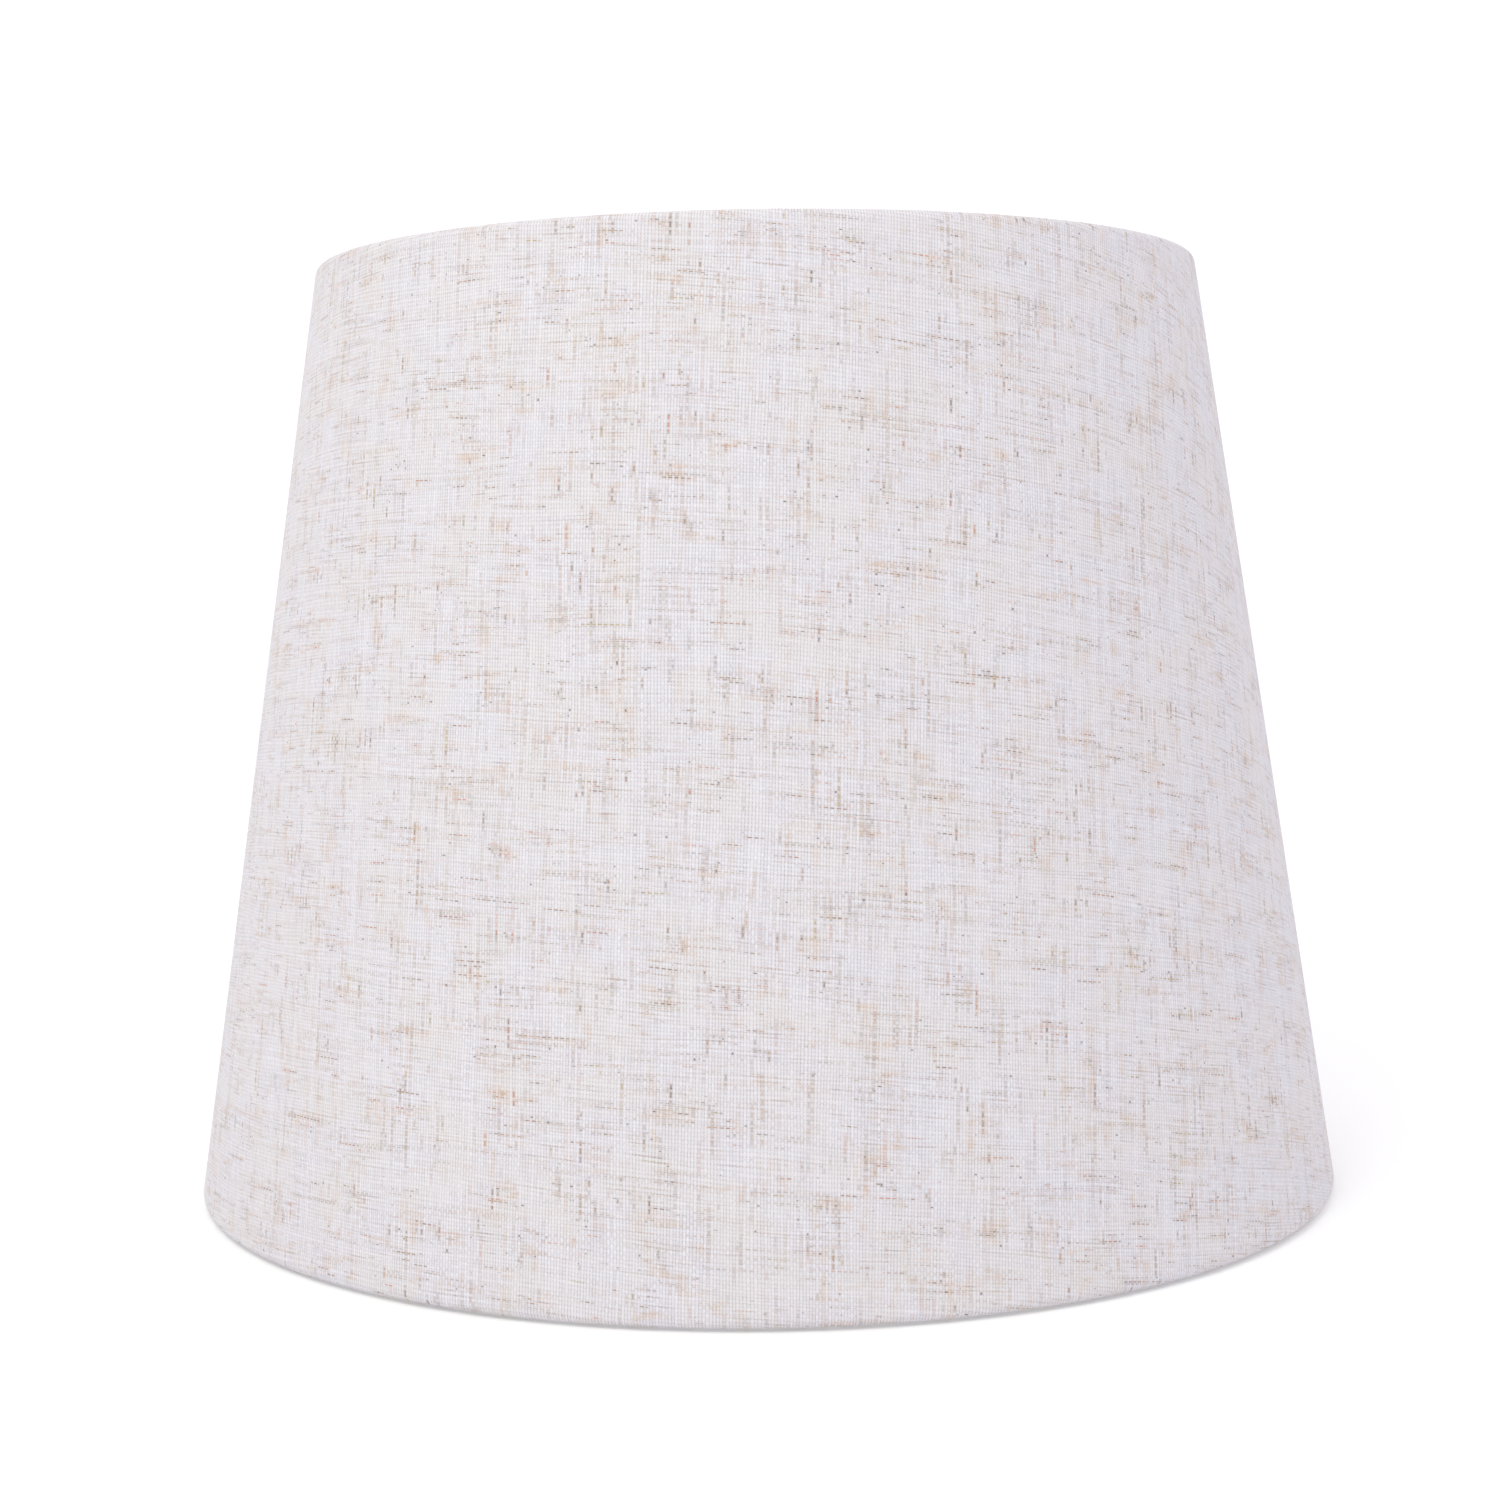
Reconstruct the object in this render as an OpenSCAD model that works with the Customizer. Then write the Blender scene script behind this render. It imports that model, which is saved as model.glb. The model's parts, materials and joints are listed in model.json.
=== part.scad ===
// Tapered hardback lamp shade: cloth laminated to a plastic liner, rolled round
// two wire rings, with a three-armed spider fitter welded into the top ring.
// Origin at the centre of the circle that the bottom hem stands on, +Z up,
// with the lapped side seam at the back (+Y).

/* [Shade] */
// Outside diameter over the bottom hem
bottom_d = 300; // [260:1:400]
// Outside diameter over the top hem
top_d = 230; // [180:1:240]
// Overall height over both hems
shade_h = 240; // [180:1:320]

/* [Cloth and liner] */
// Thickness of the cloth
cloth_t = 0.4; // [0.3:0.05:0.6]
// Thickness of the plastic liner
liner_t = 0.4; // [0.3:0.05:0.6]
// Width of the turned-in cloth that is stuck to the inside of the liner
turn_in_w = 9; // [6:0.5:14]
// Angle that the cloth is tucked past a half turn round each wire
tuck_angle = 50; // [40:1:65]

/* [Side seam] */
// Width of the lapped seam at the bottom edge
seam_w = 12; // [8:0.5:18]
// Width of the step where the upper layers climb over the lower ones
step_w = 0.5; // [0.4:0.05:1]

/* [Adhesive tape] */
// Thickness of the double-sided tape
tape_t = 0.2; // [0.15:0.05:0.3]
// Width of the tape laid lengthwise round each wire
ring_tape_w = 9; // [7:0.25:9.25]

/* [Rings] */
// Diameter of the ring wire
ring_wire_d = 3; // [2.5:0.1:4]

/* [Spider fitter] */
// Diameter of the arm wire
arm_wire_d = 3; // [2.5:0.1:3.5]
// Height of the top ring's centre above the washer's top face
fitter_drop = 13; // [10:0.5:30]
// Inside radius of the bend at the outer end of each arm
arm_bend_r = 3.5; // [2:0.5:6]
// Direction of the first arm, in degrees anticlockwise from +X
arm_angle = 30; // [0:5:60]
// Outside diameter of the washer
washer_d = 26; // [24:1:32]
// Thickness of the washer
washer_t = 1.5; // [1.2:0.1:2.5]
// Diameter of the washer's hole, for the stud at the top of a harp
washer_hole_d = 11; // [10:0.5:12]
// Radius from the hole's axis to the inner ends of the arms
arm_start_r = 9.5; // [9:0.5:10.5]

/* [Hidden] */
$fn = 96;

arm_count = 3;
// Film of glue between one layer and the next
glue_t = 0.02;
// Depth that welded wires sink into what they are welded to
weld_sink = 0.25;
// Chamfer on the washer's outer edge
washer_chamfer = 0.3;
// Clearance round each arm where the cloth and the tape are cut for it
notch_gap = 1;
// Angle at which the turned-in cloth lifts off its roll
lift_angle = 15;
// Distance along the wall from the ring tape to the liner's edge
liner_gap = 0.2;
// Direction of the slit in the ring tape, from the outside of the wall
tape_slit_angle = 60;
// Distance that the seam tape stops short of both edges of the seam
tape_inset_w = 1;
// Widths of the slits between one layer's edge and the step of the next
slit_w = 0.15;
step_gap = 0.05;
// Distance that cutting shapes run past what they cut
over_cut = 1;

// Radii of what is wrapped round each ring wire
ring_wire_r = ring_wire_d / 2;
tape_in_r = ring_wire_r + glue_t;
tape_out_r = tape_in_r + tape_t;
roll_in_r = tape_out_r + glue_t;
hem_r = roll_in_r + cloth_t;

// Centres of the two ring wires, and the straight wall between them
bottom_ring_r = bottom_d / 2 - hem_r;
top_ring_r = top_d / 2 - hem_r;
bottom_ring_z = hem_r;
top_ring_z = shade_h - hem_r;
wall_angle = atan((bottom_ring_r - top_ring_r) / (top_ring_z - bottom_ring_z));
wall_l = (top_ring_z - bottom_ring_z) / cos(wall_angle);

// Faces of each layer, measured square to the wall from the line between the wires
cloth_in = roll_in_r;
cloth_out = hem_r;
liner_out = cloth_in - glue_t;
liner_in = liner_out - liner_t;
tail_out = liner_in - glue_t;
tail_in = tail_out - cloth_t;
// The seam's upper layers, from the lower cloth outwards
seam_tape_in = cloth_out + glue_t;
seam_tape_out = seam_tape_in + tape_t;
fold_in = seam_tape_out + glue_t;
fold_out = fold_in + cloth_t;
upper_liner_in = fold_out + glue_t;
upper_liner_out = upper_liner_in + liner_t;
upper_cloth_in = upper_liner_out + glue_t;
upper_cloth_out = upper_cloth_in + cloth_t;

// The liner stops this far from each wire's centre
liner_edge = sqrt(pow(tape_out_r, 2) - pow(liner_in, 2)) + liner_gap;

// Angles of the seam, in degrees round the axis; the upper layers come from the larger angle
degrees_per_mm = 360 / (PI * bottom_d);
seam_mid = 90;
seam_edge = seam_mid - seam_w * degrees_per_mm / 2;
step_start = seam_mid + seam_w * degrees_per_mm / 2;
step_a = step_w * degrees_per_mm;
slit_a = slit_w * degrees_per_mm;
cloth_step_start = step_start + step_a + step_gap * degrees_per_mm;
cloth_base_start = cloth_step_start + step_a;
cloth_base_mid = (cloth_step_start + cloth_base_start) / 2;
fold_a = cloth_t * degrees_per_mm;
upper_liner_edge = seam_edge + fold_a + slit_a;
tape_inset = tape_inset_w * degrees_per_mm;

// The turned-in tail of a hem, in the wall's own directions: [outwards, along the wall]
tuck_end = 180 - tuck_angle;
tail_front_d = hem_r * cos(lift_angle);
tail_back_d = tail_front_d - cloth_t;
tail_front = tail_front_d * [cos(tuck_end), sin(tuck_end)];
tail_back = tail_back_d * [cos(tuck_end), sin(tuck_end)];
roll_end = tuck_end - (lift_angle + acos(tail_back_d / roll_in_r)) / 2;
tail_back_s = tail_back[1] + (tail_out - tail_back[0]) / tan(tuck_angle);
tail_front_s = tail_front[1] + (tail_in - tail_front[0]) / tan(tuck_angle);
tail_end = tail_back_s + turn_in_w;

// The spider's levels and radii
arm_wire_r = arm_wire_d / 2;
washer_r = washer_d / 2;
washer_top_z = top_ring_z - fitter_drop;
washer_bottom_z = washer_top_z - washer_t;
arm_z = washer_bottom_z - arm_wire_r + weld_sink;
riser_r = top_ring_r - ring_wire_r - arm_wire_r + weld_sink;
bend_mid_r = arm_bend_r + arm_wire_r;
notch_w = arm_wire_d + 2 * notch_gap;

// Draws in the wall's own directions: x outwards and y up the wall, from the bottom wire's centre
module in_wall() {
    translate([bottom_ring_r, bottom_ring_z])
        rotate(wall_angle)
            children();
}

// The same at a hem: y runs from the wire's centre into the wall
module at_hem(top) {
    in_wall()
        translate([0, top ? wall_l : 0])
            mirror([0, top ? 1 : 0])
                children();
}

// A wedge of the plane that spans the angles from a0 to a1
module wedge(a0, a1, reach) {
    steps = 4;
    rim = [for (i = [0 : steps]) let (a = a0 + (a1 - a0) * i / steps) reach * [cos(a), sin(a)]];
    polygon(concat([[0, 0]], rim));
}

// A whole layer of the wall, from face n0 to n1 and from s0 to s1 along it
module layer(n0, n1, s0, s1) {
    rotate_extrude()
        in_wall()
            translate([n0, s0])
                square([n1 - n0, s1 - s0]);
}

// The part of a layer that lies between two angles
module strip(n0, n1, s0, s1, a0, a1) {
    intersection() {
        layer(n0, n1, s0, s1);
        translate([0, 0, -shade_h / 2])
            linear_extrude(2 * shade_h)
                wedge(a0, a1, bottom_d);
    }
}

// Cloth rolled round a wire and stuck to the inside of the liner
module hem_section() {
    difference() {
        union() {
            difference() {
                circle(r = hem_r);
                wedge(0, roll_end, 3 * hem_r);
            }
            polygon([
                tail_back,
                [tail_out, tail_back_s],
                [tail_out, tail_end],
                [tail_in, tail_end],
                [tail_in, tail_front_s],
                tail_front,
            ]);
        }
        circle(r = roll_in_r);
    }
}

// The cloth all round, with both hems and no seam
module cloth_round() {
    rotate_extrude() {
        in_wall()
            translate([cloth_in, 0])
                square([cloth_t, wall_l]);
        at_hem(false)
            hem_section();
        at_hem(true)
            hem_section();
    }
}

// Repeats its children once for each arm
module at_each_arm() {
    for (i = [0 : arm_count - 1])
        rotate([0, 0, arm_angle + i * 360 / arm_count])
            children();
}

// What is cut from the top hem so that one arm can reach the ring
module arm_notch() {
    depth = 2 * hem_r;
    ring_clear = ring_wire_r - weld_sink;
    cut_l = tail_end + over_cut;
    translate([top_ring_r - depth, -notch_w / 2, top_ring_z - tail_end])
        cube([depth - ring_clear, notch_w, tail_end + notch_gap]);
    translate([top_ring_r, 0, top_ring_z])
        rotate([0, -wall_angle, 0])
            translate([-depth, -notch_w / 2, -cut_l])
                cube([depth + tail_out + glue_t / 2, notch_w, cut_l - roll_in_r]);
}

module fabric_cover() {
    cut = 2 * cloth_t;
    color("linen")
        difference() {
            union() {
                difference() {
                    cloth_round();
                    strip(cloth_in - cut, cloth_out + cut, 0, wall_l, step_start - slit_a, cloth_base_mid);
                }
                strip(cloth_in, upper_cloth_out, 0, wall_l, cloth_step_start, cloth_base_start);
                strip(upper_cloth_in, upper_cloth_out, 0, wall_l, seam_edge, cloth_base_start);
                strip(fold_in, upper_cloth_out, 0, wall_l, seam_edge, seam_edge + fold_a);
                strip(fold_in, fold_out, 0, wall_l, seam_edge, step_start - slit_a);
            }
            at_each_arm()
                arm_notch();
        }
}

module liner_panel() {
    cut = 2 * liner_t;
    s0 = liner_edge;
    s1 = wall_l - liner_edge;
    color("white")
        union() {
            difference() {
                layer(liner_in, liner_out, s0, s1);
                strip(liner_in - cut, liner_out + cut, 0, wall_l, step_start - slit_a, step_start + step_a / 2);
            }
            strip(liner_in, upper_liner_out, s0, s1, step_start, step_start + step_a);
            strip(upper_liner_in, upper_liner_out, s0, s1, upper_liner_edge, step_start + step_a);
        }
}

module seam_tape() {
    s0 = liner_edge;
    s1 = wall_l - liner_edge;
    color("gainsboro")
        strip(seam_tape_in, seam_tape_out, s0, s1, seam_edge + tape_inset, step_start - tape_inset);
}

module ring(r, z) {
    translate([0, 0, z])
        rotate_extrude()
            translate([r, 0])
                circle(r = ring_wire_r);
}

module bottom_ring() {
    color("silver")
        ring(bottom_ring_r, bottom_ring_z);
}

module top_ring() {
    color("whitesmoke")
        ring(top_ring_r, top_ring_z);
}

// Tape that leaves a narrow slit along the wire, on the side of the liner's edge
module ring_tape(top) {
    covered = 360 * ring_tape_w / (2 * PI * tape_in_r);
    half_slit = (360 - covered) / 2;
    rotate_extrude()
        at_hem(top)
            difference() {
                circle(r = tape_out_r);
                circle(r = tape_in_r);
                wedge(tape_slit_angle - half_slit, tape_slit_angle + half_slit, 3 * tape_out_r);
            }
}

module bottom_ring_tape() {
    color("gainsboro")
        ring_tape(false);
}

module top_ring_tape() {
    color("gainsboro")
        difference() {
            ring_tape(true);
            at_each_arm()
                arm_notch();
        }
}

// One arm along +X: flattened under the washer, out, and up beside the ring
module arm_wire() {
    run_end_r = riser_r - bend_mid_r;
    difference() {
        union() {
            translate([arm_start_r, 0, arm_z])
                rotate([0, 90, 0])
                    cylinder(h = run_end_r - arm_start_r, r = arm_wire_r);
            translate([run_end_r, 0, arm_z + bend_mid_r])
                rotate([90, 0, 0])
                    rotate([0, 0, -90])
                        rotate_extrude(angle = 90)
                            translate([bend_mid_r, 0])
                                circle(r = arm_wire_r);
            translate([riser_r, 0, arm_z + bend_mid_r])
                cylinder(h = top_ring_z - arm_z - bend_mid_r, r = arm_wire_r);
        }
        translate([0, 0, washer_bottom_z])
            cylinder(h = washer_t, r = washer_r);
        ring(top_ring_r, top_ring_z);
    }
}

module spider_arm(i) {
    color("whitesmoke")
        rotate([0, 0, arm_angle + (i - 1) * 360 / arm_count])
            arm_wire();
}

module fitter_washer() {
    color("whitesmoke")
        translate([0, 0, washer_bottom_z])
            difference() {
                rotate_extrude()
                    polygon([
                        [0, 0],
                        [washer_r - washer_chamfer, 0],
                        [washer_r, washer_chamfer],
                        [washer_r, washer_t - washer_chamfer],
                        [washer_r - washer_chamfer, washer_t],
                        [0, washer_t],
                    ]);
                translate([0, 0, -washer_t])
                    cylinder(h = 3 * washer_t, d = washer_hole_d);
            }
}

fabric_cover();
liner_panel();
seam_tape();
bottom_ring();
bottom_ring_tape();
top_ring();
top_ring_tape();
spider_arm(1);  // spider_arm_1
spider_arm(2);  // spider_arm_2
spider_arm(3);  // spider_arm_3
fitter_washer();
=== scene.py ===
import json
import math

import bpy
import numpy as np
from mathutils import Matrix, Vector


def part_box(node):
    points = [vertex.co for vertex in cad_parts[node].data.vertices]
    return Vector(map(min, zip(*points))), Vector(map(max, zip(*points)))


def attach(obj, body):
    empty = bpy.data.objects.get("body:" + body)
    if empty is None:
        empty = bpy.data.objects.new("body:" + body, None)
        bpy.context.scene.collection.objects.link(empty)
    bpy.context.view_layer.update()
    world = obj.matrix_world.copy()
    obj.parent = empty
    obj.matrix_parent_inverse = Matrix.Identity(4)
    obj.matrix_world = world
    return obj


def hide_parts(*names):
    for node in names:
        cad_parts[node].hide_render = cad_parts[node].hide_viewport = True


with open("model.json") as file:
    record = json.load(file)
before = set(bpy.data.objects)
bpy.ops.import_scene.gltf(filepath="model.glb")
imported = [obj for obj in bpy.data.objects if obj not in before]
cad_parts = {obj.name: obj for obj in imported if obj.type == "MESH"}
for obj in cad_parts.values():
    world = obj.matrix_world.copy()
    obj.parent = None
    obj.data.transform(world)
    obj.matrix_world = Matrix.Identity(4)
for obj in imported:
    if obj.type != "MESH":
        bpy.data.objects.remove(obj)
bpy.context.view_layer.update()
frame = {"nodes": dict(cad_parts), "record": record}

MM = 0.001

# The camera, in metres, radians and (lens and sensor) millimetres: level with the shade's upper
# half, looking slightly down.
CAMERA_AT = (0.0, -0.6616, 0.1598)
CAMERA_YAW = -0.0048
CAMERA_PITCH = -0.0710
CAMERA_ROLL = -0.0151
CAMERA_LENS = 59.13
SENSOR_WIDTH = 36.0

# The cloth and what it is wrapped round, in millimetres, as in the CAD.
CLOTH_T = 0.4
TAIL_OUT = 1.30
TAIL_LENGTH = 12.2
TUCK_END = 130.0
TAIL_BEND_R = 2.0
LINER_EDGE = 1.3

# The lapped side seam, in degrees round the axis, anticlockwise from +X.
SEAM_EDGE = 87.708
SEAM_BACK = 92.235
LAP_START = 92.52
LAP_RAMP = 1.7

# Offsets of each layer's back and front face from the cloth's usual back face, in millimetres:
# on the wall, round the wire, and in the turned-in tail. The cloth is squeezed where it is lapped.
LAYER_BASE = ((0.0, 0.4), (0.0, 0.4), (0.0, 0.4))
LAYER_LOWER = ((0.0, 0.4), (0.0, 0.26), (0.0, 0.34))
LAYER_FOLD = ((1.04, 0.64), (0.51, 0.27), (0.68, 0.35))
LAYER_UPPER = ((1.48, 1.88), (0.52, 0.78), (0.69, 1.03))

ARM_ANGLES = (30.0, -90.0, -210.0)
NOTCH_HALF_W = 2.5
NOTCH_FROM = 213.0
WELD_SINK = 0.25

# Hand work, in millimetres: how far the raw edges waver, the tails pucker and the rolls are uneven,
# and the furthest that the cloth sinks in.
RAW_EDGE_WAVER = 0.7
TAIL_PUCKER = 0.35
ROLL_UNEVEN = 0.04
SINK_LIMIT = -0.02

# The weld beads' half sizes in millimetres: outwards, sideways and up.
RING_BEAD = (0.95, 0.75, 1.25)
WASHER_BEAD = (1.7, 0.85, 0.75)

# How the cloth was cut: the angle that faces the middle of the blank, and the weft's slant.
GRAIN_CENTRE = -12.0
WEFT_SLANT = 3.3

# The weave, in millimetres: how far apart the threads are and how far they wander sideways.
WARP_PITCH = 0.70
WEFT_PITCH = 0.88
WARP_WANDER = 2.4
WEFT_WANDER = 4.0

# A thread's height, as shares of a thread: its rise over another one and its round crown. The warp
# stands a little higher.
THREAD_RISE = 0.30
THREAD_CROWN = 0.62
WARP_PROUD = 0.10

# The coloured fibres: the noise level from which they show, how far it drops inside a patch, the
# streaks' lengths along a thread in millimetres, how fast the noise runs along each thread (the
# streaks are longer below 1), and how strong the faint ones are.
WEFT_FIBRES_FROM = 0.683
WARP_FIBRES_FROM = 0.712
PATCH_DROP = 0.21
STREAK_LENGTH = 20.0
FLECK_LENGTH = 10.0
SPECK_LENGTH = 1.3
HUE_LENGTH = 14.0
WEFT_NOISE_SPEED = 0.8
WARP_NOISE_SPEED = 0.9
FAINT_STRENGTH = 0.62

# Colours, as 0 to 255 in sRGB.
THREAD_COOL = (235, 232, 239)
THREAD_GREY = (223, 219, 226)
THREAD_WARM = (230, 225, 223)
THREAD_SMUDGE = (224, 200, 182)
SPECK = (112, 98, 92)
FIBRES = (
    (0.32, (192, 173, 137)),
    (0.39, (149, 142, 137)),
    (0.45, (191, 161, 132)),
    (0.50, (147, 132, 120)),
    (0.56, (203, 162, 135)),
    (0.62, (142, 132, 128)),
    (0.69, (202, 145, 121)),
)
LINER_WHITES = ((237, 236, 235), (232, 231, 229))
TAPE_CREAMS = ((232, 228, 212), (222, 216, 196))
ZINC_GREYS = ((198, 200, 203), (176, 177, 178))
PAINT_WHITES = ((238, 237, 236), (231, 230, 228))
FLOOR_WHITES = ((252, 252, 252), (250, 250, 251))

# The floor is a white light table: half its side and its height, in metres, and how much it glows.
FLOOR_REACH = 12.0
FLOOR_LEVEL = -0.0006
FLOOR_GLOW = 0.20

# One soft, warm light from the left and above, in a cool white room.
KEY_AT = (-0.4, -0.7, 1.1)
KEY_TOWARDS = (0.0, 0.0, 0.16)
KEY_SIZE = 0.5
KEY_WATTS = 3.95
KEY_COLOUR = (0.96, 1.0, 0.79)
ROOM_STRENGTH = 1.105
ROOM_COLOUR = (0.975, 0.965, 1.0)


def make_camera():
    """The camera, from its place, its three turns and its lens."""
    forward = Vector((
        math.sin(CAMERA_YAW) * math.cos(CAMERA_PITCH),
        math.cos(CAMERA_YAW) * math.cos(CAMERA_PITCH),
        math.sin(CAMERA_PITCH),
    ))
    level = Vector((math.cos(CAMERA_YAW), -math.sin(CAMERA_YAW), 0.0))
    above = level.cross(forward)
    right = level * math.cos(CAMERA_ROLL) + above * math.sin(CAMERA_ROLL)
    up = above * math.cos(CAMERA_ROLL) - level * math.sin(CAMERA_ROLL)
    data = bpy.data.cameras.new("camera")
    data.lens = CAMERA_LENS
    data.sensor_width = SENSOR_WIDTH
    camera = bpy.data.objects.new("camera", data)
    bpy.context.scene.collection.objects.link(camera)
    turn = Matrix((right, up, -forward)).transposed().to_4x4()
    camera.matrix_world = Matrix.Translation(CAMERA_AT) @ turn
    bpy.context.scene.camera = camera


# ---------------------------------------------------------------- nodes and materials


# Which sockets of a Mix node hold the factor, the two colours and the result.
MIX_RGBA_INPUTS = (0, 6, 7)
MIX_RGBA_OUTPUT = 2


class Shader:
    """A material whose nodes are made by short calls."""

    def __init__(self, name):
        self.material = bpy.data.materials.new(name)
        self.material.use_nodes = True
        self.tree = self.material.node_tree
        self.tree.nodes.clear()
        self.surface = self.add("BsdfPrincipled")
        output = self.add("OutputMaterial")
        self.tree.links.new(self.surface.outputs[0], output.inputs["Surface"])

    def add(self, kind, inputs=None, **settings):
        node = self.tree.nodes.new("ShaderNode" + kind)
        for name, value in settings.items():
            setattr(node, name, value)
        for name, value in (inputs or {}).items():
            self.put(node.inputs[name], value)
        return node

    def put(self, socket, value):
        if isinstance(value, bpy.types.NodeSocket):
            self.tree.links.new(value, socket)
        elif isinstance(value, tuple) and len(value) == 3 and socket.type == "RGBA":
            socket.default_value = (*value, 1.0)
        else:
            socket.default_value = value

    def math(self, operation, *values):
        return self.add("Math", dict(enumerate(values)), operation=operation).outputs[0]

    def minus(self, first, second):
        return self.math("SUBTRACT", first, second)

    def plus(self, *values):
        total = values[0]
        for value in values[1:]:
            total = self.math("ADD", total, value)
        return total

    def times(self, *values):
        total = values[0]
        for value in values[1:]:
            total = self.math("MULTIPLY", total, value)
        return total

    def wave(self, at):
        """1 at even numbers, -1 at odd ones."""
        return self.math("COSINE", self.times(at, math.pi))

    def point(self, x, y):
        return self.add("CombineXYZ", {"X": x, "Y": y}).outputs[0]

    def noise(self, vector, scale=1.0, detail=2.0, roughness=0.5, dimensions="2D"):
        inputs = {"Vector": vector, "Scale": scale, "Detail": detail, "Roughness": roughness}
        return self.add("TexNoise", inputs, noise_dimensions=dimensions).outputs["Fac"]

    def random(self, value):
        return self.add("TexWhiteNoise", {"W": value}, noise_dimensions="1D").outputs["Value"]

    def solid_noise(self, scale, detail):
        """Noise through the whole piece, from its own coordinates in metres."""
        place = self.add("TexCoord").outputs["Object"]
        return self.noise(place, scale, detail, dimensions="3D")

    def step(self, value, low, high, to_low=0.0, to_high=1.0):
        """A smooth step between two values of the input, and level beyond them."""
        inputs = {
            "Value": value, "From Min": low, "From Max": high, "To Min": to_low, "To Max": to_high,
        }
        return self.add("MapRange", inputs, interpolation_type="SMOOTHSTEP").outputs["Result"]

    def mix(self, factor, first, second, blend="MIX"):
        node = self.add("Mix", data_type="RGBA", blend_type=blend)
        for number, value in zip(MIX_RGBA_INPUTS, (factor, first, second)):
            self.put(node.inputs[number], value)
        return node.outputs[MIX_RGBA_OUTPUT]

    def between(self, cloud, colours):
        """The first colour where a noise is low, the second where it is high."""
        first, second = colours
        return self.mix(self.step(cloud, 0.3, 0.7), srgb(*first), srgb(*second))

    def ramp(self, factor, stops):
        node = self.add("ValToRGB", {"Fac": factor})
        elements = node.color_ramp.elements
        while len(elements) < len(stops):
            elements.new(1.0)
        for element, (position, colour) in zip(elements, stops):
            element.position = position
            element.color = (*colour, 1.0)
        return node.outputs["Color"]

    def bump(self, height, distance, strength):
        """A normal bent by a height; the distance is in metres."""
        inputs = {"Height": height, "Distance": distance, "Strength": strength}
        return self.add("Bump", inputs).outputs[0]

    def round_thread(self, across, width):
        """A thread's cross-section: 1 on its crown, 0 at its edge and less beyond."""
        ratio = self.math("DIVIDE", self.times(across, 2.0), width)
        return self.minus(1.0, self.times(ratio, ratio))

    def lanes(self, at):
        """The number of the nearest lane, and 1 in its middle falling to 0 at its edges."""
        lane = self.math("ROUND", at)
        off = self.math("ABSOLUTE", self.minus(at, lane))
        return lane, self.step(off, 0.16, 0.46, 1.0, 0.0)

    def finish(self, colour, normal=None, **sockets):
        self.put(self.surface.inputs["Base Color"], colour)
        if normal is not None:
            self.put(self.surface.inputs["Normal"], normal)
        for name, value in sockets.items():
            self.put(self.surface.inputs[name.replace("_", " ")], value)
        return self.material


def srgb(red, green, blue):
    """A colour given as 0 to 255 in sRGB, as the linear values that a shader takes."""
    return tuple(
        c / 12.92 if c <= 0.04045 else ((c + 0.055) / 1.055) ** 2.4
        for c in (red / 255, green / 255, blue / 255)
    )


def coloured_fibres(s, along, lane, shown_from, patches, seed):
    """How strongly each lane of a thread is coloured: long faint streaks, short strong ones,
    and a few dark specks. Returns (colour's strength, speck's strength, which colour)."""
    row = s.math("MULTIPLY_ADD", lane, 7.31, seed)
    level = s.math("MULTIPLY_ADD", patches, -PATCH_DROP, shown_from)

    def streaks(number, length, detail, roughness=0.5):
        here = s.point(s.times(along, 1 / length), number)
        return s.noise(here, detail=detail, roughness=roughness)

    streak = streaks(row, STREAK_LENGTH, 3.0, 0.65)
    fleck = streaks(s.plus(row, 3.7), FLECK_LENGTH, 3.0, 0.55)
    speck = streaks(s.plus(row, 5.9), SPECK_LENGTH, 0.0)
    hue = streaks(s.plus(row, 1.3), HUE_LENGTH, 1.0)
    faint = s.step(s.minus(streak, level), -0.05, 0.15, 0.0, FAINT_STRENGTH)
    strong = s.step(s.minus(fleck, s.plus(level, 0.03)), 0.0, 0.13)
    dark = s.step(s.minus(speck, s.plus(level, 0.25)), 0.0, 0.08)
    return s.math("MAXIMUM", faint, strong), dark, hue


def cloth_noise(s, x, y, length, width, detail, roughness=0.5):
    """Noise on the flat cloth, in blots of about this length and width in millimetres."""
    here = s.point(s.times(x, 1 / length), s.times(y, 1 / width))
    return s.noise(here, detail=detail, roughness=roughness)


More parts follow.
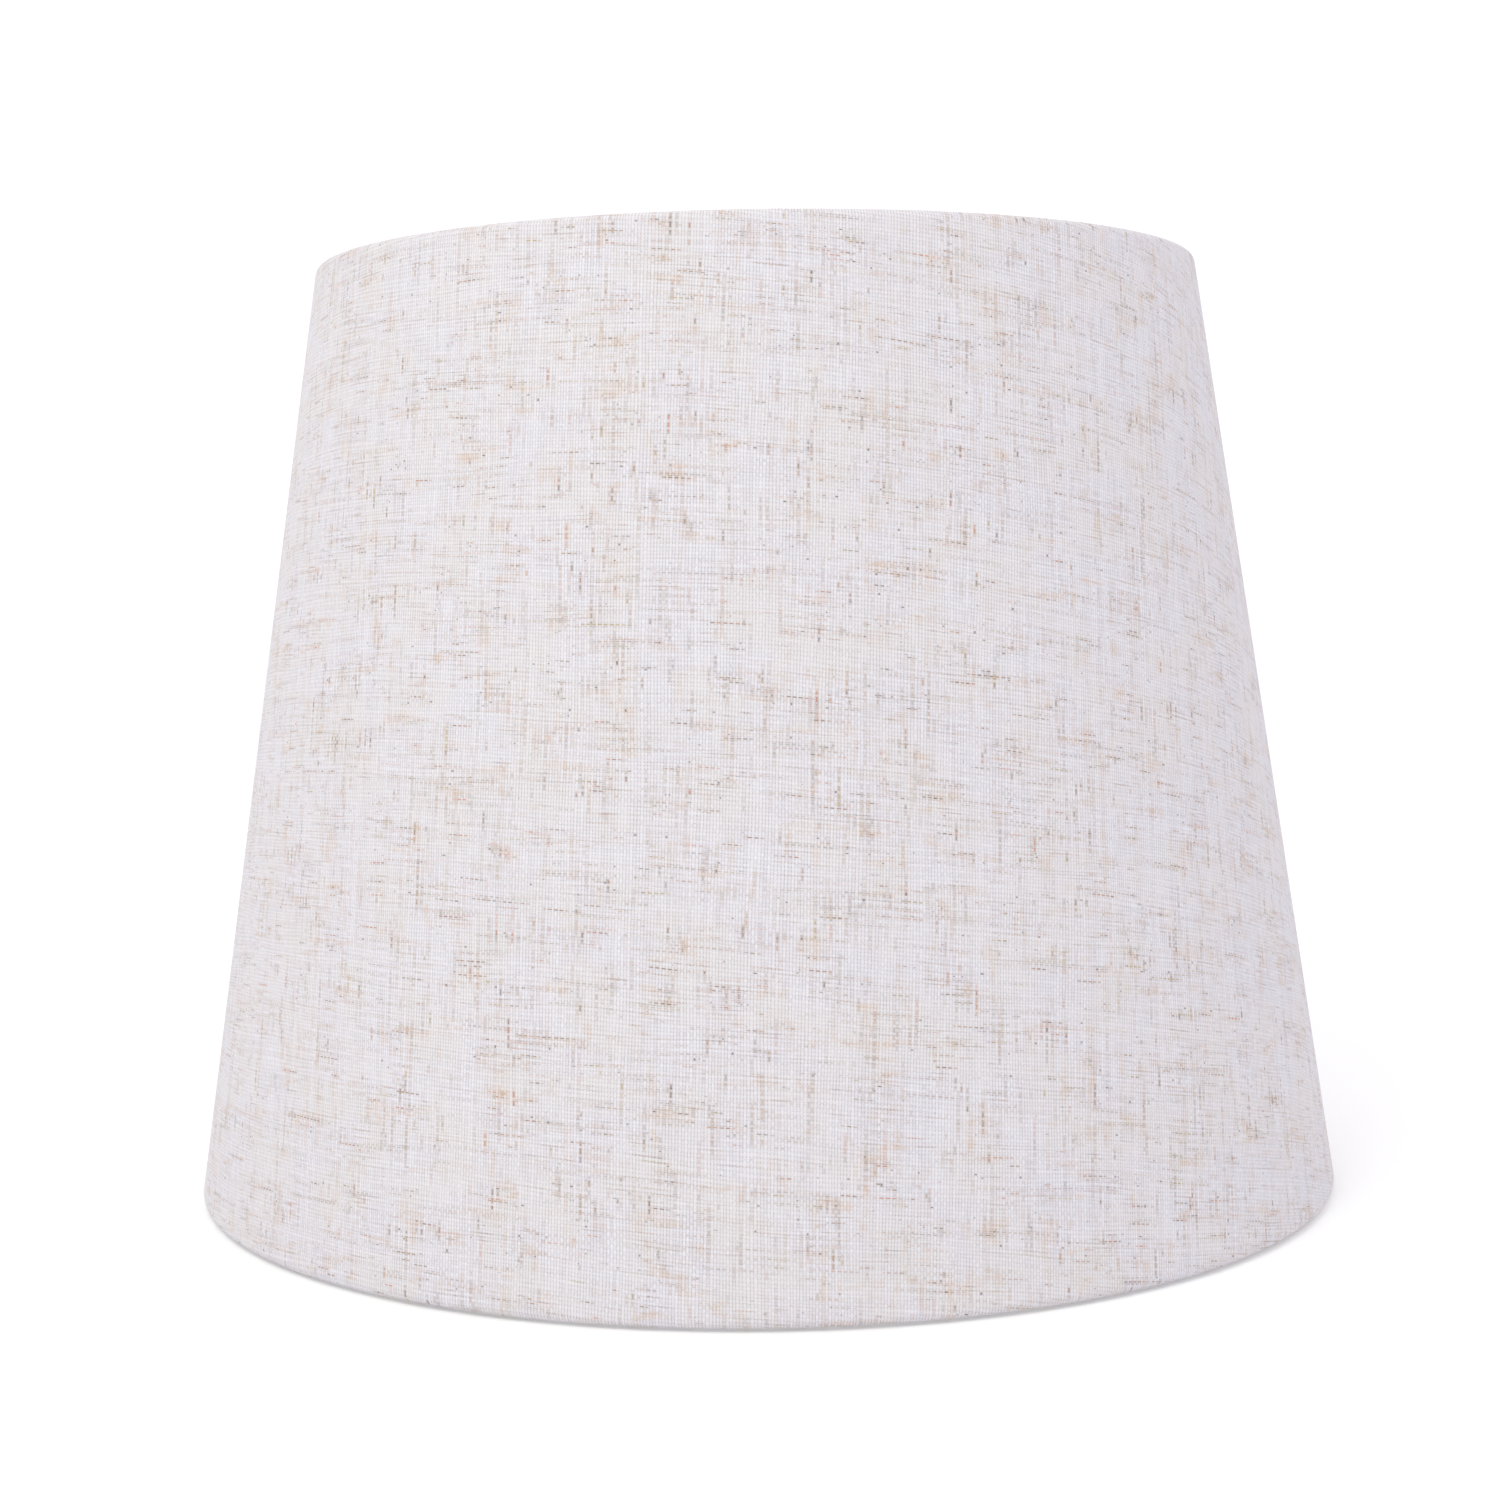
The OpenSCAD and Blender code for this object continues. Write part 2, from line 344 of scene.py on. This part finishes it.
def plain_weave(s, x, y):
    """Where each point lies in the weave.

    Returns how far along in warp threads and in weft threads, the numbers of the nearest ones, how
    much the warp lies on top there, the height, and the nearest warp thread's roundness."""
    sideways = cloth_noise(s, x, y, 22, 90, 2.0)
    lengthways = cloth_noise(s, x, y, 80, 18, 2.0)
    slant = math.tan(math.radians(WEFT_SLANT))
    warp_at = s.times(s.plus(x, s.times(sideways, WARP_WANDER)), 1 / WARP_PITCH)
    weft_y = s.plus(y, s.times(x, slant), s.times(lengthways, WEFT_WANDER))
    weft_at = s.times(weft_y, 1 / WEFT_PITCH)
    warp = s.math("ROUND", warp_at)
    weft = s.math("ROUND", weft_at)

    # Over and under: each thread rises and dips as it passes its neighbours.
    warp_rise = s.times(s.wave(warp), s.wave(weft_at))
    weft_rise = s.times(s.wave(weft), s.wave(warp_at), -1.0)
    warp_fat = s.noise(s.point(s.times(y, 1 / 9), s.times(warp, 4.3)), detail=1.0)
    weft_fat = s.noise(s.point(s.times(x, 1 / 8), s.times(weft, 5.1)), detail=1.0)
    warp_round = s.round_thread(s.minus(warp_at, warp), s.step(warp_fat, 0.3, 0.7, 0.84, 1.04))
    weft_round = s.round_thread(s.minus(weft_at, weft), s.step(weft_fat, 0.3, 0.7, 0.70, 1.06))
    warp_top = s.plus(
        s.times(warp_rise, THREAD_RISE), s.times(warp_round, THREAD_CROWN), WARP_PROUD
    )
    weft_top = s.plus(s.times(weft_rise, THREAD_RISE), s.times(weft_round, THREAD_CROWN))
    over = s.step(s.minus(warp_top, weft_top), -0.25, 0.25)
    height = s.math("MAXIMUM", warp_top, weft_top)
    return (warp_at, weft_at), (warp, weft), over, height, warp_round


def ground_colour(s, x, y, threads, over, height, patches):
    """The undyed threads: cool white, each a little lighter or greyer, with soft tan smudges."""
    warp, weft = threads
    warp_noise = s.noise(s.point(s.times(y, 1 / 9), warp), detail=1.0)
    weft_noise = s.noise(s.point(s.times(x, 1 / 5), weft), detail=2.0)
    warp_tone = s.math("MULTIPLY_ADD", s.random(warp), 0.5, warp_noise)
    weft_tone = s.math("MULTIPLY_ADD", s.random(weft), 0.3, weft_noise)
    cool, grey = srgb(*THREAD_COOL), srgb(*THREAD_GREY)
    warp_colour = s.mix(s.step(warp_tone, 0.3, 1.2), cool, grey)
    weft_colour = s.mix(s.step(weft_tone, 0.3, 1.0), cool, grey)
    plain = s.mix(over, weft_colour, warp_colour)
    age = cloth_noise(s, x, y, 17, 17, 3.0, 0.6)
    plain = s.mix(s.step(age, 0.35, 0.65, 0.0, 0.45), plain, srgb(*THREAD_WARM))
    wide = cloth_noise(s, x, y, 12, 4.2, 2.0, 0.6)
    tall = cloth_noise(s, x, y, 3.8, 12, 2.0, 0.6)
    smudge = s.math("MAXIMUM", s.step(wide, 0.52, 0.80), s.step(tall, 0.54, 0.82))
    grain = s.step(s.plus(warp_tone, weft_tone), 1.0, 1.7, 0.2, 1.0)
    low = s.step(height, 0.2, 0.7, 1.0, 0.4)
    near_fibres = s.step(patches, 0.40, 0.60, 0.5, 1.3)
    return s.mix(s.times(smudge, grain, low, near_fibres), plain, srgb(*THREAD_SMUDGE))


def linen_cloth():
    """Off-white plain weave; some fibres in its threads are tan, grey or brown."""
    s = Shader("linen_cloth")
    parts = s.add("SeparateXYZ", {"Vector": s.add("UVMap", uv_map="cut").outputs[0]})
    x = s.times(parts.outputs["X"], 1 / MM)
    y = s.times(parts.outputs["Y"], 1 / MM)
    (warp_at, weft_at), threads, over, height, warp_round = plain_weave(s, x, y)

    # The coloured fibres gather in loose patches and are thinner than the thread they lie in.
    patches = cloth_noise(s, x, y, 16, 9, 3.0, 0.6)
    weft_lane, weft_in = s.lanes(s.times(weft_at, 2.0))
    warp_lane, warp_in = s.lanes(warp_at)
    weft_colour, weft_dark, weft_hue = coloured_fibres(
        s, s.times(x, WEFT_NOISE_SPEED), weft_lane, WEFT_FIBRES_FROM, patches, 11.3
    )
    warp_colour, warp_dark, warp_hue = coloured_fibres(
        s, s.times(y, WARP_NOISE_SPEED), warp_lane, WARP_FIBRES_FROM, patches, 47.9
    )
    weft_seen = s.times(weft_in, s.step(over, 0.0, 1.0, 1.0, 0.30))
    warp_seen = s.times(warp_in, s.step(over, 0.0, 1.0, 0.25, 0.88))
    tints = [(position, srgb(*colour)) for position, colour in FIBRES]
    colour = ground_colour(s, x, y, threads, over, height, patches)
    colour = s.mix(s.times(weft_colour, weft_seen), colour, s.ramp(weft_hue, tints))
    colour = s.mix(s.times(warp_colour, warp_seen), colour, s.ramp(warp_hue, tints))
    dark = s.math("MAXIMUM", s.times(weft_dark, weft_seen), s.times(warp_dark, warp_seen))
    colour = s.mix(s.times(dark, 0.8), colour, srgb(*SPECK))

    # Painted shade: the gaps between threads and the low parts of the weave are darkened as if
    # shaded, and the same factors also set the cloth's overall lightness; the fibres' fuzz breaks
    # up every tone.
    fuzz = cloth_noise(s, x, y, 0.25, 0.25, 2.0, 0.7)
    gap_painted_shade = s.step(warp_round, -0.1, 0.7, 0.87, 1.0)
    depth_painted_shade = s.step(height, 0.10, 0.75, 0.695, 0.85)
    shade = s.times(depth_painted_shade, gap_painted_shade, s.step(fuzz, 0.2, 0.8, 0.895, 1.105))
    shade_colour = s.add("CombineColor", {0: shade, 1: shade, 2: shade}).outputs[0]
    colour = s.mix(1.0, colour, shade_colour, "MULTIPLY")
    slubs = s.times(s.math("MAXIMUM", weft_colour, warp_colour), 0.2)
    normal = s.bump(s.plus(height, slubs, s.times(fuzz, 0.25)), 0.0001, 0.6)
    return s.finish(
        colour, normal,
        Roughness=0.92, Specular_IOR_Level=0.25, Sheen_Weight=0.1, Sheen_Roughness=0.5,
    )


def liner_plastic():
    """Satin white sheet, faintly mottled by the cloth behind it."""
    s = Shader("liner_plastic")
    mottle = s.solid_noise(80.0, 3.0)
    grain = s.bump(s.solid_noise(1400.0, 1.0), 0.00003, 0.5)
    rough = s.step(mottle, 0.3, 0.7, 0.40, 0.48)
    colour = s.between(mottle, LINER_WHITES)
    return s.finish(colour, grain, Roughness=rough, Specular_IOR_Level=0.5)


def adhesive_tape():
    """Matt, slightly yellow double-sided tape with the paper's fine fibre."""
    s = Shader("adhesive_tape")
    fibre = s.bump(s.solid_noise(700.0, 3.0), 0.00004, 0.6)
    return s.finish(s.between(s.solid_noise(60.0, 2.0), TAPE_CREAMS), fibre, Roughness=0.75)


def ring_wire():
    """Drawn, zinc-plated steel wire."""
    s = Shader("ring_wire")
    bloom = s.solid_noise(90.0, 4.0)
    scratch = s.bump(s.solid_noise(900.0, 2.0), 0.00002, 0.5)
    rough = s.step(bloom, 0.3, 0.7, 0.28, 0.42)
    return s.finish(s.between(bloom, ZINC_GREYS), scratch, Metallic=1.0, Roughness=rough)


def white_powder_coat():
    """Satin white powder coat with its fine orange peel."""
    s = Shader("white_powder_coat")
    peel = s.bump(s.solid_noise(900.0, 2.0), 0.00005, 0.6)
    colour = s.between(s.solid_noise(120.0, 2.0), PAINT_WHITES)
    return s.finish(colour, peel, Roughness=0.36, Specular_IOR_Level=0.5)


# ---------------------------------------------------------------- the cloth


def smooth(value, low, high):
    """A smooth step from 0 at the low value to 1 at the high one."""
    t = np.clip((np.asarray(value, float) - low) / (high - low), 0.0, 1.0)
    return t * t * (3.0 - 2.0 * t)


def ripple(angles, seed, waves):
    """A smooth wave round the shade, from -1 to 1, that closes on itself after a full turn."""
    draw = np.random.default_rng(seed)
    total = np.zeros(len(angles))
    for count in waves:
        phase = draw.uniform(0, 2 * np.pi)
        total += np.sin(np.radians(angles) * count + phase) * draw.uniform(0.4, 1.0)
    return total / len(waves)


def ring_centre(node):
    """Radius and height of a ring wire's centre, in millimetres."""
    low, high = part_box(node)
    wire_r = (high.z - low.z) / 2
    return (high.x - wire_r) / MM, (high.z + low.z) / 2 / MM


LOW_R, LOW_Z = ring_centre("bottom_ring")
HIGH_R, HIGH_Z = ring_centre("top_ring")
WALL_ANGLE = math.atan2(LOW_R - HIGH_R, HIGH_Z - LOW_Z)
WALL_L = math.hypot(LOW_R - HIGH_R, HIGH_Z - LOW_Z)
ROLL_R = (LOW_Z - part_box("fabric_cover")[0].z / MM) - CLOTH_T


def hem_path():
    """The back face of a hem's cloth from its raw edge to the foot of the wall.

    Each row: outwards, along the wall, the front side's direction in those two, path length
    from the foot of the wall (negative), share of the tail, and how far it follows the raw edge."""
    tuck = math.radians(180.0 - TUCK_END)
    end = math.radians(TUCK_END)
    tangent = np.array([math.cos(end), math.sin(end)]) * ROLL_R
    bend_out = TAIL_OUT - TAIL_BEND_R + TAIL_BEND_R * math.cos(tuck)
    straight = (bend_out - tangent[0]) / math.sin(tuck)
    bend_s = tangent[1] + straight * math.cos(tuck) + TAIL_BEND_R * math.sin(tuck)
    rows = []

    # The turned-in tail, from its raw edge to the bend at which it lifts off the liner.
    for t in np.linspace(1.0, 0.0, 7):
        rows.append([TAIL_OUT, bend_s + t * (TAIL_LENGTH - bend_s), -1.0, 0.0, 1.0, t])
    for a in np.linspace(0.0, tuck, 6)[1:]:
        out = TAIL_OUT - TAIL_BEND_R + TAIL_BEND_R * math.cos(a)
        rows.append([out, bend_s - TAIL_BEND_R * math.sin(a), -math.cos(a), math.sin(a), 1.0, 0.0])

    # Straight on to the roll, and then round the wire to the foot of the wall.
    start = np.array(rows[-1][:2])
    for t in (0.4, 0.75):
        at = start + t * (tangent - start)
        rows.append([at[0], at[1], math.cos(end), math.sin(end), 1.0 - t, 0.0])
    angles = sorted(set(np.linspace(TUCK_END, 360.0, 19)[:-1].tolist() + [NOTCH_FROM]))
    for a in np.radians(angles):
        out, up = math.cos(a), math.sin(a)
        rows.append([ROLL_R * out, ROLL_R * up, out, up, 0.0, 0.0])
    rows = np.array(rows)
    points = np.vstack([rows[:, :2], [[ROLL_R, 0.0]]])
    steps = np.linalg.norm(np.diff(points, axis=0), axis=1)
    back = -np.cumsum(steps[::-1])[::-1]
    notch = angles.index(NOTCH_FROM) + len(rows) - len(angles)
    return np.column_stack([rows[:, :4], back, rows[:, 4:]]), notch


def cloth_path():
    """The whole strip from the lower raw edge, over both wires, to the upper one.

    Returns the rows as hem_path gives them, the share of (wall, roll, tail) at each row,
    and the number of the row from which the upper hem is cut away at the arms."""
    hem, notch = hem_path()
    along = np.concatenate([[0.0, 0.8, 1.6, 3.0, 5.5], np.linspace(9.0, WALL_L - 9.0, 42)])
    along = np.concatenate([along, WALL_L - along[4::-1]])
    wall = np.zeros((len(along), 7))
    wall[:, 0] = ROLL_R
    wall[:, 1] = along
    wall[:, 2] = 1.0
    wall[:, 4] = along
    upper = hem[::-1].copy()
    upper[:, 1] = WALL_L - upper[:, 1]
    upper[:, 3] = -upper[:, 3]
    upper[:, 4] = WALL_L - upper[:, 4]
    upper[:, 6] = -upper[:, 6]
    rows = np.vstack([hem, wall, upper])
    from_foot = np.minimum(rows[:, 4], WALL_L - rows[:, 4])
    wall_share = smooth(from_foot, -1.1, LINER_EDGE)
    tail_share = rows[:, 5]
    shares = np.column_stack([wall_share, 1.0 - wall_share - tail_share, tail_share])
    first_cut = len(rows) - 1 - notch
    return rows, shares, first_cut


def column(angle, backs, fronts, sides=((0.0, 0.0),) * 3, laid=None):
    """One column of the cloth: its angle, each zone's back and front offset, each zone's back and
    front sideways shift in millimetres, and its angle on the flat blank."""
    return (angle, backs, fronts, sides, angle if laid is None else laid)


def layer_column(angle, layer, laid=None):
    """A column that lies in one of the layers."""
    return column(angle, [z[0] for z in layer], [z[1] for z in layer], laid=laid)


def blend_layers(first, second, share):
    """A layer part of the way from one to the other."""
    share = float(smooth(share, 0, 1))
    return [
        tuple(a + (b - a) * share for a, b in zip(zone_a, zone_b))
        for zone_a, zone_b in zip(first, second)
    ]


def cloth_columns():
    """The columns in order: the hidden end, once round, over the hidden end, and folded under."""
    per_mm = math.degrees(1.0 / (LOW_R + ROLL_R + CLOTH_T))
    half = math.degrees(NOTCH_HALF_W / HIGH_R)
    columns = []

    # The hidden end, down off it, and once round with a column at each notch's edges.
    for angle in np.linspace(SEAM_BACK, SEAM_EDGE + 0.4, 7):
        columns.append(layer_column(angle, LAYER_LOWER))
    for share in (0.25, 0.5, 0.75, 1.0):
        angle = SEAM_EDGE + 0.4 - 1.6 * share
        columns.append(layer_column(angle, blend_layers(LAYER_LOWER, LAYER_BASE, share)))
    first, last = SEAM_EDGE - 2.0, LAP_START + LAP_RAMP + 0.5 - 360.0
    edges = [a + d for a in ARM_ANGLES for d in (-half, half)]
    plain = [a for a in np.linspace(first, last, 300) if min(abs(a - e) for e in edges) > 0.45]
    for angle in sorted(plain + edges, reverse=True):
        columns.append(layer_column(angle, LAYER_BASE))

    # Up over the hidden end, along its top, and the folded edge: half a turn under and back.
    for share in np.linspace(0.0, 1.0, 10):
        angle = LAP_START + LAP_RAMP * (1 - share) - 360.0
        columns.append(layer_column(angle, blend_layers(LAYER_BASE, LAYER_UPPER, share)))
    fold_r = [(u[1] - f[1]) / 2 for u, f in zip(LAYER_UPPER, LAYER_FOLD)]
    turn = SEAM_EDGE + fold_r[0] * per_mm - 360.0
    for angle in np.linspace(LAP_START - 360.0, turn, 8)[1:]:
        columns.append(layer_column(angle, LAYER_UPPER))
    middle = (fold_r[0] + (LAYER_UPPER[0][0] - LAYER_FOLD[0][0]) / 2) / 2
    for bend in np.linspace(0.0, math.pi, 9)[1:]:
        backs, fronts, sides = [], [], []
        for upper, fold, outer in zip(LAYER_UPPER, LAYER_FOLD, fold_r):
            inner = (upper[0] - fold[0]) / 2
            centre = (upper[0] + fold[0]) / 2
            backs.append(centre + inner * math.cos(bend))
            fronts.append(centre + outer * math.cos(bend))
            sides.append((inner * math.sin(bend), outer * math.sin(bend)))
        columns.append(column(turn, backs, fronts, sides, laid=turn - bend * middle * per_mm))
    laid = turn - math.pi * middle * per_mm
    for step in np.linspace(0.0, SEAM_BACK - 0.3 - (turn + 360.0), 7)[1:]:
        columns.append(layer_column(turn + step, LAYER_FOLD, laid=laid - step))
    return columns, half


def cloth_vertices():
    """Front and back points of the cloth as two arrays of columns by rows, the flat coordinates
    of each, and which quads are there."""
    rows, shares, first_cut = cloth_path()
    columns, half = cloth_columns()
    angles = np.array([c[0] for c in columns])
    backs = np.array([c[1] for c in columns]) @ shares.T
    fronts = np.array([c[2] for c in columns]) @ shares.T
    side_back = np.array([[z[0] for z in c[3]] for c in columns]) @ shares.T
    side_front = np.array([[z[1] for z in c[3]] for c in columns]) @ shares.T
    laid = np.array([c[4] for c in columns])

    # Hand work: the raw edges waver, the tails pucker a little and the rolls aren't quite even.
    waver = ripple(laid, 5, (3, 5, 9, 14, 23, 37, 61))
    waver_top = ripple(laid, 6, (4, 7, 11, 17, 29, 43, 67))
    raw_edge = rows[None, :, 6]
    waver = np.where(raw_edge > 0, waver[:, None], waver_top[:, None])
    along = rows[None, :, 1] + waver * raw_edge * RAW_EDGE_WAVER
    pucker = np.abs(ripple(laid, 7, (31, 47, 71, 97)))[:, None] * rows[None, :, 5]
    pucker = pucker * (1.0 - np.abs(raw_edge)) * TAIL_PUCKER
    uneven = (ripple(laid, 8, (7, 16, 33, 58)) * ROLL_UNEVEN)[:, None] * shares[None, :, 1]
    proud = np.maximum(pucker + uneven, SINK_LIMIT)

    def place(offset, sideways):
        offset = offset + proud
        out = rows[None, :, 0] + offset * rows[None, :, 2]
        up = along + offset * rows[None, :, 3]
        r = LOW_R + out * math.cos(WALL_ANGLE) - up * math.sin(WALL_ANGLE)
        z = LOW_Z + out * math.sin(WALL_ANGLE) + up * math.cos(WALL_ANGLE)
        a = np.radians(angles)[:, None] - sideways / r
        return np.stack([r * np.cos(a), r * np.sin(a), z], axis=-1) * MM

    front, back = place(fronts, side_front), place(backs, side_back)
    foot_r = LOW_R + ROLL_R * math.cos(WALL_ANGLE)
    slant = foot_r / math.sin(WALL_ANGLE) - rows[None, :, 4]
    turn = np.radians(laid + 90.0 - GRAIN_CENTRE)[:, None] * math.sin(WALL_ANGLE)
    middle = foot_r / math.sin(WALL_ANGLE) - WALL_L / 2
    flat = np.stack([slant * np.sin(turn), middle - slant * np.cos(turn)], axis=-1) * MM

    there = np.ones((len(columns) - 1, len(rows) - 1), bool)
    mids = (angles[1:] + angles[:-1]) / 2
    for arm in ARM_ANGLES:
        there[np.abs(mids - arm) < half * 0.99, first_cut:] = False
    sizes = (slant.max(), slant.min(), turn.max() - turn.min())
    return front, back, flat, there, sizes


def sheet_mesh(name, front, back, flat, there):
    """A closed mesh with a front, a back and edges, from two arrays of points."""
    across, along = front.shape[:2]
    number = np.arange(across * along).reshape(across, along)
    behind = number + across * along
    faces = []
    for i, k in zip(*np.nonzero(there)):
        faces.append((number[i, k], number[i, k + 1], number[i + 1, k + 1], number[i + 1, k]))
        faces.append((behind[i, k], behind[i + 1, k], behind[i + 1, k + 1], behind[i, k + 1]))
        sides = (
            ((i, k), (i + 1, k), (i, k - 1)),
            ((i + 1, k), (i + 1, k + 1), (i + 1, k)),
            ((i + 1, k + 1), (i, k + 1), (i, k + 1)),
            ((i, k + 1), (i, k), (i - 1, k)),
        )
        for a, b, (ni, nk) in sides:
            inside = 0 <= ni < there.shape[0] and 0 <= nk < there.shape[1]
            if not (inside and there[ni, nk]):
                faces.append((number[a], number[b], behind[b], behind[a]))
    points = np.vstack([front.reshape(-1, 3), back.reshape(-1, 3)])
    laid = np.vstack([flat.reshape(-1, 2), flat.reshape(-1, 2)])
    used = np.unique(np.array(faces))
    renumber = np.zeros(len(points), int)
    renumber[used] = np.arange(len(used))
    faces = renumber[np.array(faces)]
    mesh = bpy.data.meshes.new(name)
    mesh.from_pydata(points[used].tolist(), [], faces.tolist())
    layer = mesh.uv_layers.new(name="cut")
    layer.data.foreach_set("uv", laid[used][faces].ravel())
    mesh.shade_smooth()
    mesh.set_sharp_from_angle(angle=math.radians(50))
    mesh.update()
    return mesh


def link(name, mesh, material):
    """A new object in the scene with one material."""
    made = bpy.data.objects.new(name, mesh)
    bpy.context.scene.collection.objects.link(made)
    mesh.materials.append(material)
    return made


def make_cloth(material):
    """The shade's cover, which takes the place of the CAD's cover."""
    front, back, flat, there, (far, near, sector) = cloth_vertices()
    cloth = link("linen_cover", sheet_mesh("linen_cover", front, back, flat, there), material)
    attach(cloth, "root")
    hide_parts("fabric_cover")
    return cloth


# ---------------------------------------------------------------- welds


def blob(rows, centre, axes, radii, seed):
    """Adds a slightly lumpy ellipsoid to rows (its points, its faces)."""
    points, faces = rows
    draw = np.random.default_rng(seed)
    lumps = draw.normal(size=(3, 3)) * 2.2
    start, rings, sides = len(points), 14, 24
    for i in range(rings + 1):
        up = math.pi * i / rings
        for k in range(sides):
            turn = 2 * math.pi * k / sides
            across = math.sin(up)
            unit = np.array([across * math.cos(turn), across * math.sin(turn), math.cos(up)])
            swell = 1.0 + 0.05 * np.sin(lumps @ unit * 1.7).sum()
            points.append(centre + (unit * swell * radii) @ axes)
    for i in range(rings):
        for k in range(sides):
            a, b = start + i * sides + k, start + i * sides + (k + 1) % sides
            faces.append((a, b, b + sides, a + sides))


def make_welds(material):
    """Two small beads where each arm meets the ring, and two where it meets the washer."""
    low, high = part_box("fitter_washer")
    washer_low = low.z / MM
    washer_r = high.x / MM
    for number, angle in enumerate(ARM_ANGLES, 1):
        arm_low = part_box("spider_arm_%d" % number)[0].z / MM
        wire_r = (washer_low + WELD_SINK - arm_low) / 2
        out = np.array([math.cos(math.radians(angle)), math.sin(math.radians(angle)), 0.0])
        side = np.array([-out[1], out[0], 0.0])
        axes = np.array([out, side, [0.0, 0.0, 1.0]])
        rows = ([], [])
        riser_r = HIGH_R - 2 * wire_r + WELD_SINK
        for sign in (-1, 1):
            at = np.array([riser_r + wire_r * 0.8, sign * wire_r * 0.62, HIGH_Z - 0.35]) @ axes
            blob(rows, at, axes, RING_BEAD, 10 * number + sign)
            at = np.array([washer_r - 1.7, sign * wire_r * 0.72, washer_low - 0.45]) @ axes
            blob(rows, at, axes, WASHER_BEAD, 20 * number + sign)
        mesh = bpy.data.meshes.new("weld_%d" % number)
        mesh.from_pydata((np.array(rows[0]) * MM).tolist(), [], rows[1])
        mesh.shade_smooth()
        beads = link("weld_beads_%d" % number, mesh, material)
        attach(beads, "root")


# ---------------------------------------------------------------- stage and light


def make_stage():
    """A plain white light table, whose glow keeps the shade's lower edge from going dark."""
    s = Shader("floor")
    colour = s.between(s.solid_noise(3.0, 2.0), FLOOR_WHITES)
    material = s.finish(
        s.mix(FLOOR_GLOW, colour, (0.0, 0.0, 0.0)),
        Roughness=0.9, Specular_IOR_Level=0.1,
        Emission_Color=(1.0, 1.0, 1.0), Emission_Strength=FLOOR_GLOW,
    )
    mesh = bpy.data.meshes.new("floor")
    sides = ((-1, -1), (1, -1), (1, 1), (-1, 1))
    corners = [(x * FLOOR_REACH, y * FLOOR_REACH, FLOOR_LEVEL) for x, y in sides]
    mesh.from_pydata(corners, [], [(0, 1, 2, 3)])
    link("floor", mesh, material)


def area_light(name, at, towards, size, watts, colour):
    """A round, soft lamp."""
    data = bpy.data.lights.new(name, "AREA")
    data.shape = "DISK"
    data.size = size
    data.energy = watts
    data.color = colour
    lamp = bpy.data.objects.new(name, data)
    lamp.location = at
    lamp.rotation_mode = "QUATERNION"
    lamp.rotation_quaternion = (Vector(towards) - Vector(at)).to_track_quat("-Z", "Y")
    bpy.context.scene.collection.objects.link(lamp)


def make_light():
    """Cool white light from all round, and one soft, warm key light."""
    world = bpy.data.worlds.new("studio")
    world.use_nodes = True
    background = world.node_tree.nodes["Background"]
    background.inputs["Color"].default_value = (*ROOM_COLOUR, 1.0)
    background.inputs["Strength"].default_value = ROOM_STRENGTH
    bpy.context.scene.world = world
    area_light("key", KEY_AT, KEY_TOWARDS, KEY_SIZE, KEY_WATTS, KEY_COLOUR)
    bpy.context.scene.view_settings.view_transform = "Standard"


# ---------------------------------------------------------------- put together


def dress_cad_nodes():
    """Gives every CAD node that stays its slot's material. Returns those materials by slot."""
    finishes = {
        "liner_plastic": liner_plastic(),
        "adhesive_tape": adhesive_tape(),
        "ring_wire": ring_wire(),
        "white_powder_coat": white_powder_coat(),
    }
    for part in frame["record"]["subparts"]:
        slot = part["material_slot"]
        if slot in finishes:
            node = frame["nodes"][part["node"]]
            node.data.materials.clear()
            node.data.materials.append(finishes[slot])
    return finishes


make_camera()
make_cloth(linen_cloth())
make_welds(dress_cad_nodes()["white_powder_coat"])
make_stage()
make_light()
